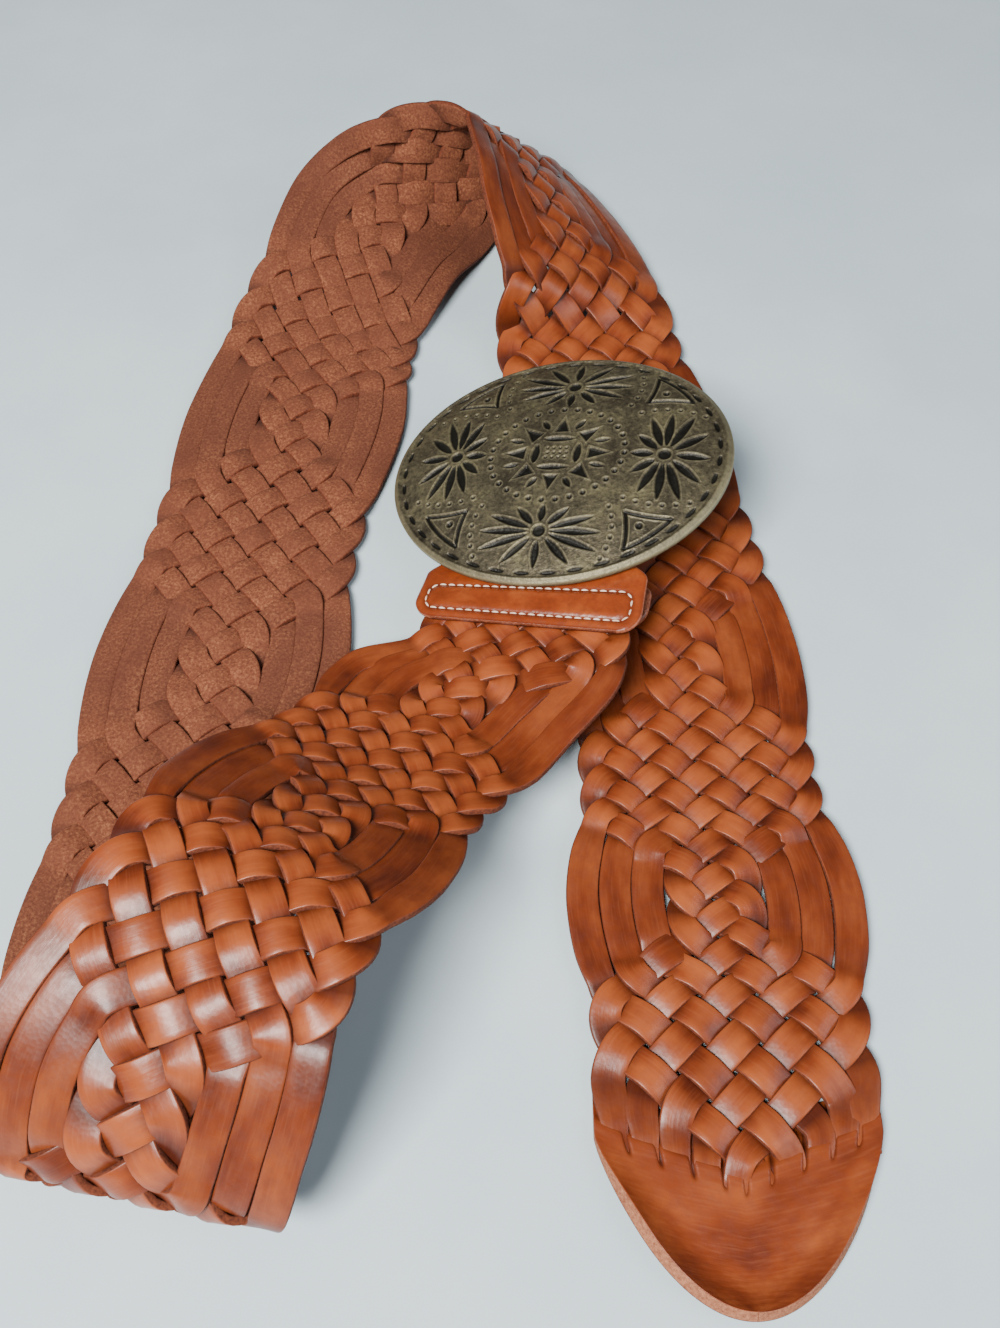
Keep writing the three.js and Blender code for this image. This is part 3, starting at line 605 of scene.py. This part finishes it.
middle, across, outward, half, distance, layer_side = tab_stations()
cells = 60
x = np.linspace(-1, 1, cells + 1)[None] * (half[:, None] - 0.35)
inside = ring_depth(x, distance[:, None])
upper = layer_side[:, None] > 0
edge_in = np.minimum(half[:, None] - abs(x), np.where(upper, tab_length - distance[:, None], 9.0))
relief = (0.45 * smooth_step(inside, 0.3, 1.6) - 0.40 * np.exp(-(inside / 0.5) ** 2)
          - 0.35 * smooth_step(-edge_in, -1.6, 0.0))
relief = np.where(upper, relief, -0.2 * smooth_step(-edge_in, -1.2, 0.0))
top = middle[:, None] + across[:, None] * x[..., None] + outward[:, None] * (tab_gap + tab_thick + relief)[..., None]
low = middle[:, None] + across[:, None] * x[..., None] + outward[:, None] * (tab_gap + 0.1)
side = np.stack([middle + across * (s * half)[:, None] + outward * (tab_gap + tab_thick * h)
                 for s, h in ((1, 0.75), (1, 0.3), (-1, 0.3), (-1, 0.75))], 1)
ring = np.concatenate([top, side[:, :2], low[:, ::-4], side[:, 2:]], 1)
count, n = ring.shape[:2]
tab = ring_piece("stitched_tab", ring)
finish = np.zeros((count, n))
finish[:, cells + 1:cells + 3] = 1.0
finish[:, cells + 3:-2] = 1.6
finish[:, -2:] = 1.0
seam_shade_and_burnish = np.zeros((count, n))
# painted shade along the sewn groove, and darkening along the burnished edge
seam_shade_and_burnish[:, :cells + 1] = np.exp(-(inside / 0.8) ** 2) * upper + 0.7 * smooth_step(-edge_in, -1.0, 0.0)
put_values(tab, "finish", finish)
put_values(tab, "seam_shade_and_burnish", seam_shade_and_burnish)


def glazed_tab_leather():
    """Glazed tan leather, more orange and glossier than the strap, with painted shade where the
    sewing pulls it in, and darker along its burnished edge."""
    material, tree = new_material("glazed tan leather")
    place = add_node(tree, "ShaderNodeTexCoord").outputs["Object"]
    finish = value_of(tree, "finish")
    seam_shade_and_burnish = value_of(tree, "seam_shade_and_burnish")
    patches = noise(tree, place, 90.0, 3.0)
    mottle = noise(tree, place, 420.0, 4.0, 0.65)
    tone = ramp(tree, patches, [(0.3, "#6C2B11"), (0.52, "#833917"), (0.75, "#984B20")])
    tone = mix_colour(tree, range_of(tree, mottle, 0.42, 0.7, 0.0, 0.5), tone, linear("#5A2210"))
    # painted shade in the sewn groove; the burnished edge darker too
    tone = mix_colour(tree, range_of(tree, seam_shade_and_burnish, 0.2, 1.0, 0.0, 0.8), tone, linear("#4E1C0E"))
    fibre = noise(tree, place, 1300.0, 3.0, 0.7)
    edge = ramp(tree, fibre, [(0.3, "#5E2C1E"), (0.7, "#A8664A")])
    colour = mix_colour(tree, range_of(tree, finish, 0.4, 0.9), tone, edge)
    grain = add_node(tree, "ShaderNodeTexVoronoi", {"Vector": place, "Scale": 850.0}, feature="F1").outputs[0]
    bump = add_node(tree, "ShaderNodeBump", {"Height": grain, "Strength": 0.15, "Distance": 0.0004}).outputs[0]
    gloss = range_of(tree, mottle, 0.3, 0.7, 0.24, 0.38)
    finish_material(tree, {"Base Color": colour, "Roughness": gloss, "Normal": bump,
                           "IOR": 1.5, "Specular IOR Level": 0.4})
    return material


tab.data.materials.append(glazed_tab_leather())
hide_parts("leather_tab")
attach(tab, "root")

# Stitches
# Waxed pale thread, one ring of lock stitches about 2.5 mm long, each sunk at both ends.
stitch_pitch, stitch_long, thread = 2.55, 2.05, 0.30


def ring_path(step):
    """Places and directions every step along the sewn ring, as (across, distance) pairs."""
    half = tab_width / 2 - ring_inset
    mid, tall = (ring_top + ring_end) / 2, (ring_end - ring_top) / 2
    angle = np.linspace(0, np.pi / 2, 12)
    dense = []
    for k, (sx, sy) in enumerate(((1, 1), (-1, 1), (-1, -1), (1, -1))):
        a = angle + k * np.pi / 2
        dense.append(np.stack([sx * (half - ring_corner) + ring_corner * np.cos(a),
                               mid + sy * (tall - ring_corner) + ring_corner * np.sin(a)], 1))
    dense = np.concatenate(dense + [dense[0][:1]])
    run = np.concatenate([[0], np.cumsum(np.linalg.norm(np.diff(dense, axis=0), axis=1))])
    at = np.linspace(0, run[-1], int(run[-1] / step), endpoint=False)
    ends = [np.stack([np.interp(np.mod(at + d, run[-1]), run, dense[:, c]) for c in (0, 1)], 1) for d in (-0.9, 0.9)]
    return (ends[0] + ends[1]) / 2, ends[1] - ends[0]


def stitches():
    """Each stitch is a thread of round section, thinning and sinking with the square of the
    distance from its middle."""
    at, toward = ring_path(stitch_pitch)
    s = np.linspace(-1, 1, 7)
    a = np.linspace(0, 2 * np.pi, 7)[:-1]
    middle, across, normal = tab_frame(at[:, 1])
    toward = toward / np.linalg.norm(toward, axis=1, keepdims=True)
    run = across * toward[:, :1] + tab_out * toward[:, 1:]
    beside = np.cross(normal, run)
    centre = middle + across * at[:, :1] + normal * (tab_gap + tab_thick - 0.08)
    radius = thread * np.sqrt(1.02 - s**2)
    lift = 0.22 * (1 - s**2)
    path = (centre[:, None] + run[:, None] * (s * stitch_long / 2)[None, :, None]
            + normal[:, None] * lift[None, :, None])
    ring = (path[:, :, None] + beside[:, None, None] * (radius[:, None] * np.cos(a))[None, :, :, None]
            + normal[:, None, None] * (radius[:, None] * np.sin(a) * 0.8)[None, :, :, None])
    one = closed_grid(ring[0])
    size = ring.shape[1] * ring.shape[2]
    quads = (one[None] + np.arange(len(at))[:, None, None] * size).reshape(-1, 4)
    ends = [[k * size + j for j in range(6)] for k in range(len(at))] + \
           [[(k + 1) * size - 1 - j for j in range(6)] for k in range(len(at))]
    return ring.reshape(-1, 3), quads[:, ::-1], ends


thread_piece = new_piece("tab_stitches", *stitches())
material, tree = new_material("waxed pale thread")
place = add_node(tree, "ShaderNodeTexCoord").outputs["Object"]
worn = noise(tree, place, 700.0, 2.0)
finish_material(tree, {"Base Color": ramp(tree, worn, [(0.3, "#C99C7E"), (0.7, "#F0D8C4")]), "Roughness": 0.55})
thread_piece.data.materials.append(material)
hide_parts("leather_tab")
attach(thread_piece, "root")

# Buckle plate
# A domed oval casting in brass, tooled with rosettes, dots and triangles, then darkened
# and rubbed back, so the cuts stay black. The rim and high places are painted paler: rubbed brass with painted
# highlight.
dome, bead = 5.0, 0.5
cut_deep, burr_high = 0.6, 0.15
face_inset = 0.35           # the face's grid stops this far inside the outline
rim_dashes = 39


def tooling(u, v):
    """Depth of the cuts and height of the burr beside them, both 0 to 1, at millimetres from
    the tooling's middle. A petal is a lens-shaped V cut, a wedge a triangle that narrows
    outward, a dot a round pit, a bar a straight groove that bows inward."""
    cut, burr = np.zeros_like(u), np.zeros_like(u)

    def press(inside):
        """Cuts where the distance inside a mark is positive, full depth 0.6 mm in."""
        np.maximum(cut, np.clip(inside / 0.6, 0, 1), out=cut)
        np.maximum(burr, np.exp(-((inside + 0.28) / 0.24) ** 2), out=burr)

    def petal(x0, y0, x1, y1, wide):
        long = math.hypot(x1 - x0, y1 - y0)
        c, s = (x1 - x0) / long, (y1 - y0) / long
        t = ((u - x0) * c + (v - y0) * s) / long
        b = abs(-(u - x0) * s + (v - y0) * c)
        body = np.sin(np.pi * np.clip(t, 0, 1) ** 0.85) ** 0.75 * wide / 2
        press(np.where((t > 0) & (t < 1), body - b, -9.0))

    def wedge(x0, y0, x1, y1, wide):
        long = math.hypot(x1 - x0, y1 - y0)
        c, s = (x1 - x0) / long, (y1 - y0) / long
        a = (u - x0) * c + (v - y0) * s
        b = abs(-(u - x0) * s + (v - y0) * c)
        press(np.minimum(a, (wide / 2 * (1 - a / long) - b) * 0.9))

    def dot(x, y, radius):
        press(radius - np.hypot(u - x, v - y))

    def bar(x0, y0, x1, y1, bow):
        long = math.hypot(x1 - x0, y1 - y0)
        c, s = (x1 - x0) / long, (y1 - y0) / long
        t = ((u - x0) * c + (v - y0) * s) / long
        b = -(u - x0) * s + (v - y0) * c - bow * 4 * t * (1 - t)
        press(np.where((t > -0.02) & (t < 1.02), 0.62 - abs(b), -9.0))

    # rosettes of twelve petals round a hub, at the sides and stretched above and below
    for x, y, wide, tall, fat in ((-31, 0, 11.2, 15.6, 2.7), (31, 0, 11.2, 15.6, 2.7),
                                  (0, 26.5, 17.8, 10.0, 2.3), (0, -26.5, 17.8, 10.0, 2.3)):
        dot(x, y, 1.9)
        for k in range(12):
            c, s = math.cos(k * math.pi / 6), math.sin(k * math.pi / 6)
            # petals toward the rim are longer, those toward the middle star shorter
            facing = c * x + s * y
            outer = 1.12 if facing > 1 else 0.86 if facing < -20 else 1.0
            start = 3.0 / math.hypot(wide * c, tall * s)
            petal(x + wide * c * start, y + tall * s * start, x + wide * c * outer, y + tall * s * outer, fat)
    for sx in (-1, 1):
        # middle: upright and lying lens cuts
        petal(sx * 6.2, -3.7, sx * 6.2, 3.7, 2.4)
        petal(-5.0, sx * 5.2, 5.0, sx * 5.2, 2.0)
        for sy in (-1, 1):
            petal(sx * 10.4, sy * 4.1, sx * 15.2, sy * 5.0, 1.6)
            petal(sx * 3.9, sy * 8.9, sx * 6.5, sy * 12.4, 1.9)
            # outlined triangle with a pit, and the dotted arcs beside it
            a, b, c = (23.2, 19.8), (35.8, 20.8), (24.3, 30.8)
            turn = sx * sy
            bar(sx * a[0], sy * a[1], sx * b[0], sy * b[1], 0.5 * turn)
            bar(sx * b[0], sy * b[1], sx * c[0], sy * c[1], -0.9 * turn)
            bar(sx * c[0], sy * c[1], sx * a[0], sy * a[1], 0.5 * turn)
            dot(sx * 27.6, sy * 23.8, 1.0)
            for k in range(6):
                x = 22.0 + 3.6 * k
                dot(sx * x, sy * (15.3 + 1.7 * (1 - ((x - 31) / 9) ** 2)), 0.62)
                y = 18.3 + 3.15 * k
                dot(sx * (18.4 + 2.0 * (1 - ((y - 26) / 8) ** 2)), sy * y, 0.62)
    # eight wedges, the dotted ring, and the pricked middle
    for k in range(8):
        c, s = math.cos(k * math.pi / 4), math.sin(k * math.pi / 4)
        wedge(9.4 * c, 7.9 * s, 15.8 * c, 13.2 * s, 4.4)
    for k in range(31):
        a = 2 * math.pi * k / 31
        dot(19.8 * math.cos(a), 16.6 * math.sin(a), 0.85)
    for k in range(12):
        dot(-2.9 + 1.9 * (k % 4) + 0.3 * (k // 4 % 2), -1.7 + 1.7 * (k // 4), 0.5)
    return cut, burr


def oval_grid(cells_u, cells_v):
    """A square grid pulled to the unit disc: each place keeps its larger coordinate as its
    radius, so the cells stay even and there is no pole."""
    a, b = np.meshgrid(np.linspace(-1, 1, cells_u), np.linspace(-1, 1, cells_v), indexing="ij")
    radius = np.maximum(abs(a), abs(b))
    length = np.hypot(a, b)
    scale = np.where(length > 0, radius / np.maximum(length, 1e-9), 0)
    return a * scale, b * scale, radius


def plate_piece():
    """The face is the dome 5 (1 - r^2.6) with a raised rim, the tooling cut 0.6 mm deep and
    its burr 0.15 mm high; the back is the dome again, 2.6 mm lower, joined round the edge."""
    cells_u, cells_v = 320, 270
    a, b, radius = oval_grid(cells_u, cells_v)
    u, v = a * (plate_half[0] - face_inset), b * (plate_half[1] - face_inset)
    cut, burr = tooling(u - 1.1, v - 0.3)
    # dashes inside the rim
    angle = np.arctan2(b, a) * rim_dashes / (2 * np.pi)
    step = (angle - np.round(angle)) * 2 * np.pi / rim_dashes * 43
    dash = np.clip((0.7 * np.sqrt(np.clip(1 - (step / 2.2) ** 2, 0, 1)) - abs((1 - radius) * 41.5 - 2.6)) / 0.45, 0, 1)
    cut = np.maximum(cut, dash)
    from_rim = (1 - radius) * plate_half[1]
    height = dome * (1 - radius**2.6)
    height = height + bead * (1 - smooth_step(from_rim, 1.0, 1.7)) - 0.5 * (1 - smooth_step(from_rim, 0, 0.8))
    face = height - cut_deep * cut + burr_high * burr * (1 - cut)
    index = np.arange(cells_u * cells_v).reshape(cells_u, cells_v)
    vertices = [np.stack([u, v, face], -1).reshape(-1, 3)]
    quads = [np.stack([index[:-1, :-1], index[1:, :-1], index[1:, 1:], index[:-1, 1:]], -1).reshape(-1, 4)]
    # the border of the square, once round
    border = np.concatenate([index[:-1, 0], index[-1, :-1], index[:0:-1, -1], index[0, :0:-1]])
    n = len(border)
    ring_uv = vertices[0][border, :2] / (plate_half - face_inset)
    base = cells_u * cells_v
    rings = []
    back = [(share, dome * (1 - share**2.6) - plate_thick) for share in (0.85, 0.65, 0.4)]
    for share, z in [(1.0, -0.25), (1.0, -1.5), (0.985, -2.35), (0.97, -plate_thick), *back, (0.15, dome - 2.63)]:
        rings.append(np.concatenate([ring_uv * share * plate_half, np.full((n, 1), z)], 1))
    vertices += rings + [np.array([[0, 0, dome - plate_thick]])]
    order = [border] + [base + k * n + np.arange(n) for k in range(len(rings))]
    for low, high in zip(order[:-1], order[1:]):
        quads.append(np.stack([low, high, np.roll(high, -1), np.roll(low, -1)], -1))
    centre = base + len(rings) * n
    last = order[-1]
    fan = [[int(last[(k + 1) % n]), int(last[k]), centre] for k in range(n)]
    local = np.concatenate(vertices)
    world = (buckle_centre + plate_across * local[:, :1] + plate_up * local[:, 1:2] + plate_normal * local[:, 2:])
    piece = new_piece("tooled_plate", world, np.concatenate(quads), fan)
    tooled = np.zeros(len(local))
    tooled[:base] = cut.ravel()
    # painted paler on the rim, its outer wall and the burrs: rubbed brass together with painted highlight
    shine = np.zeros(len(local))
    shine[:base] = np.maximum(0.5 - 0.5 * smooth_step(from_rim, 0.5, 1.5), 0.55 * burr * (1 - cut)).ravel()
    shine[base:base + n] = 0.9
    shine[base + n:base + 2 * n] = 0.4
    put_values(piece, "tooled", tooled)
    put_values(piece, "rubbed_and_painted_highlight", shine)
    return piece


def antique_brass(name, dark, mid, light):
    """Cast brass, chemically darkened: olive grey with black in the cuts, speckled by casting
    pits of about 1 mm, and painted paler on the rim and the burrs, rubbed brass with painted highlight."""
    material, tree = new_material(name)
    place = add_node(tree, "ShaderNodeTexCoord").outputs["Object"]
    tooled = value_of(tree, "tooled")
    rubbed_and_painted_highlight = value_of(tree, "rubbed_and_painted_highlight")
    clouds = noise(tree, place, 90.0, 6.0, 0.65)
    pits = noise(tree, place, 800.0, 3.0, 0.7)
    tone = ramp(tree, clouds, [(0.32, dark), (0.5, mid), (0.68, light)])
    tone = mix_colour(tree, range_of(tree, pits, 0.48, 0.66, 0.0, 0.65), tone, linear("#232018"))
    tone = mix_colour(tree, range_of(tree, pits, 0.42, 0.3, 0.0, 0.5), tone, linear("#857D5E"))
    # rubbed brass with painted highlight: paler on the rim and the burrs
    tone = mix_colour(tree, range_of(tree, rubbed_and_painted_highlight, 0.2, 1.0, 0.0, 0.8), tone, linear("#A39A78"))
    tone = mix_colour(tree, range_of(tree, tooled, 0.12, 0.55, 0.0, 0.95), tone, linear("#100F0B"))
    rough = range_of(tree, clouds, 0.3, 0.7, 0.42, 0.6)
    bump = add_node(tree, "ShaderNodeBump", {"Height": pits, "Strength": 0.5, "Distance": 0.0005}).outputs[0]
    finish_material(tree, {"Base Color": tone, "Metallic": 0.6, "Roughness": rough, "Normal": bump})
    return material


plate = plate_piece()
plate.data.materials.append(antique_brass("antique tooled brass", "#3B3529", "#554E3C", "#6B6449"))
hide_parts("buckle_plate")
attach(plate, "root")

# Bar, posts and hook
# Plain brass casting behind the plate, never polished. The solid's shape stays as it is.
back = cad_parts["buckle_loop_and_hook"]
back.data.materials.clear()
back.data.materials.append(antique_brass("plain cast brass", "#45412F", "#625D48", "#7E775C"))

# Table
# Pale blue-grey board, barely textured, lit softly. It isn't part of the belt.
table_mesh = bpy.data.meshes.new("table")
table_mesh.from_pydata([(-3, -3, -0.0002), (3, -3, -0.0002), (3, 3, -0.0002), (-3, 3, -0.0002)], [], [(0, 1, 2, 3)])
table = bpy.data.objects.new("table", table_mesh)
bpy.context.scene.collection.objects.link(table)
material, tree = new_material("pale board")
place = add_node(tree, "ShaderNodeTexCoord").outputs["Object"]
cloud = noise(tree, place, 9.0, 6.0, 0.6)
finish_material(tree, {"Base Color": ramp(tree, cloud, [(0.3, "#B1C2CA"), (0.7, "#C1D0D5")]), "Roughness": 0.7})
table_mesh.materials.append(material)

# Light
# A large soft window high up on the viewer's left, a weak glow from the right, pale sky.
world = bpy.data.worlds.new("pale room")
world.use_nodes = True
world.node_tree.nodes["Background"].inputs[0].default_value = linear("#DCE6EC")
world.node_tree.nodes["Background"].inputs[1].default_value = 0.15
bpy.context.scene.world = world


def soft_light(name, place, size, power, colour):
    """A square area light at a place in metres, aimed at the belt's middle."""
    data = bpy.data.lights.new(name, "AREA")
    data.shape, data.size, data.energy, data.color = "SQUARE", size, power, linear(colour)[:3]
    light = bpy.data.objects.new(name, data)
    bpy.context.scene.collection.objects.link(light)
    light.location = place
    toward = -np.array(place)
    light.rotation_euler = (math.atan2(math.hypot(toward[0], toward[1]), -toward[2]), 0.0,
                            math.atan2(toward[1], toward[0]) - math.pi / 2)


soft_light("window", (-0.40, -0.60, 0.94), 0.5, 36.0, "#FFFDFA")
soft_light("far_wall", (1.0, -0.4, 0.9), 0.8, 8.0, "#F4F8FF")
